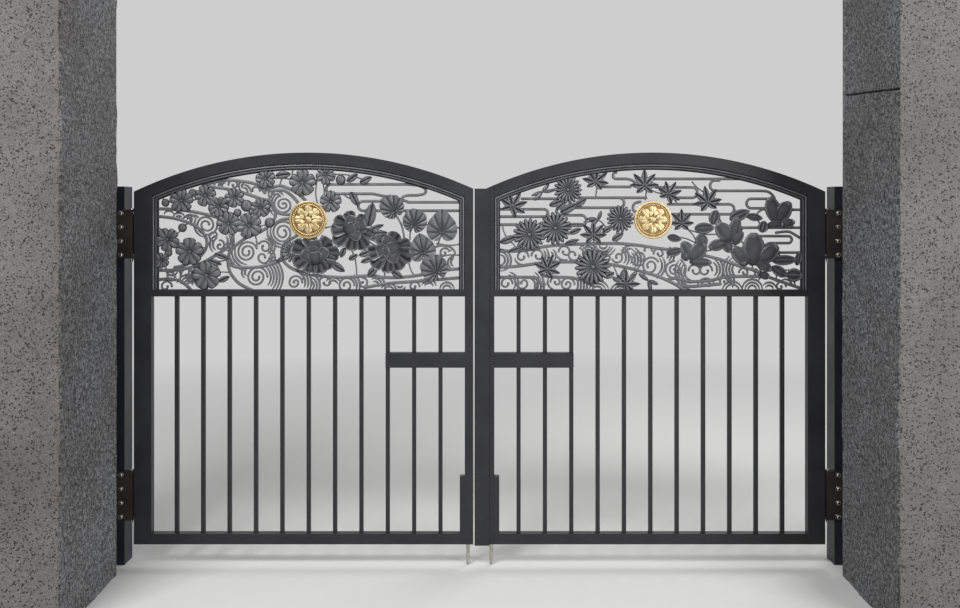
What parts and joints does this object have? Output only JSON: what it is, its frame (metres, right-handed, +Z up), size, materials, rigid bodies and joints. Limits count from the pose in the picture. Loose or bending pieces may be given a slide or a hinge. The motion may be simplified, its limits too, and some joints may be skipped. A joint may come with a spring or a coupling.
{
  "type": "double-leaf driveway gate with granite pillars",
  "caption": "Double-leaf arched metal driveway gate with cast flower and flowing-water panels over vertical bars, hung on steel posts between granite pillars.",
  "frame": {"origin": "on the ground, at the centre of the footprint of the pillars and posts", "axes": "+X to the right seen from the road, +Y inward from the road, +Z up"},
  "size_m": [4.284, 0.814, 2.75],
  "materials": {
    "granite": "bush-hammered and rough-split grey granite",
    "post_paint": "dark blue-black satin paint",
    "bracket_paint": "dark grey satin paint",
    "gate_paint": "charcoal satin paint",
    "casting_paint": "charcoal satin paint over cast metal",
    "stainless": "brushed stainless steel",
    "gilt": "gilt relief disc"
  },
  "bodies": {
    "gateposts": {"left_granite_pillar": "granite", "right_granite_pillar": "granite", "left_steel_post": "post_paint", "right_steel_post": "post_paint", "left_hinge_brackets": "bracket_paint", "right_hinge_brackets": "bracket_paint", "left_hinge_pins": "stainless", "right_hinge_pins": "stainless"},
    "left_leaf": {"left_hinge_stile": "gate_paint", "left_meeting_stile": "gate_paint", "left_arch_rail": "gate_paint", "left_mid_rail": "gate_paint", "left_bottom_rail": "gate_paint", "left_lock_rail": "gate_paint", "left_bars": "gate_paint", "left_panel_moulding": "gate_paint", "left_hinge_barrels": "gate_paint", "left_bolt_case": "gate_paint", "left_water_scrolls": "casting_paint", "left_mist_bars": "casting_paint", "left_blossoms": "casting_paint", "left_peonies": "casting_paint", "left_lotus_leaves": "casting_paint", "left_medallion": "gilt"},
    "right_leaf": {"right_hinge_stile": "gate_paint", "right_meeting_stile": "gate_paint", "right_arch_rail": "gate_paint", "right_mid_rail": "gate_paint", "right_bottom_rail": "gate_paint", "right_lock_rail": "gate_paint", "right_bars": "gate_paint", "right_panel_moulding": "gate_paint", "right_hinge_barrels": "gate_paint", "right_bolt_case": "gate_paint", "right_water_scrolls": "casting_paint", "right_mist_bars": "casting_paint", "right_chrysanthemums": "casting_paint", "right_maple_leaves": "casting_paint", "right_magnolias": "casting_paint", "right_medallion": "gilt", "right_astragal": "gate_paint"},
    "left_bolt": {"left_drop_bolt": "stainless"},
    "right_bolt": {"right_drop_bolt": "stainless"}
  },
  "joints": [
    {"name": "left_leaf_hinge", "type": "hinge", "parent": "gateposts", "child": "left_leaf", "pos_m": [-1.538, 0.32, 0.884], "axis": [0, 0, 1], "range_deg": [0, 90]},
    {"name": "right_leaf_hinge", "type": "hinge", "parent": "gateposts", "child": "right_leaf", "pos_m": [1.538, 0.32, 0.884], "axis": [0, 0, -1], "range_deg": [0, 90]},
    {"name": "left_bolt_slide", "type": "slide", "parent": "left_leaf", "child": "left_bolt", "axis": [0, 0, 1], "range_m": [0, 0.09]},
    {"name": "right_bolt_slide", "type": "slide", "parent": "right_leaf", "child": "right_bolt", "axis": [0, 0, 1], "range_m": [0, 0.09]}
  ]
}
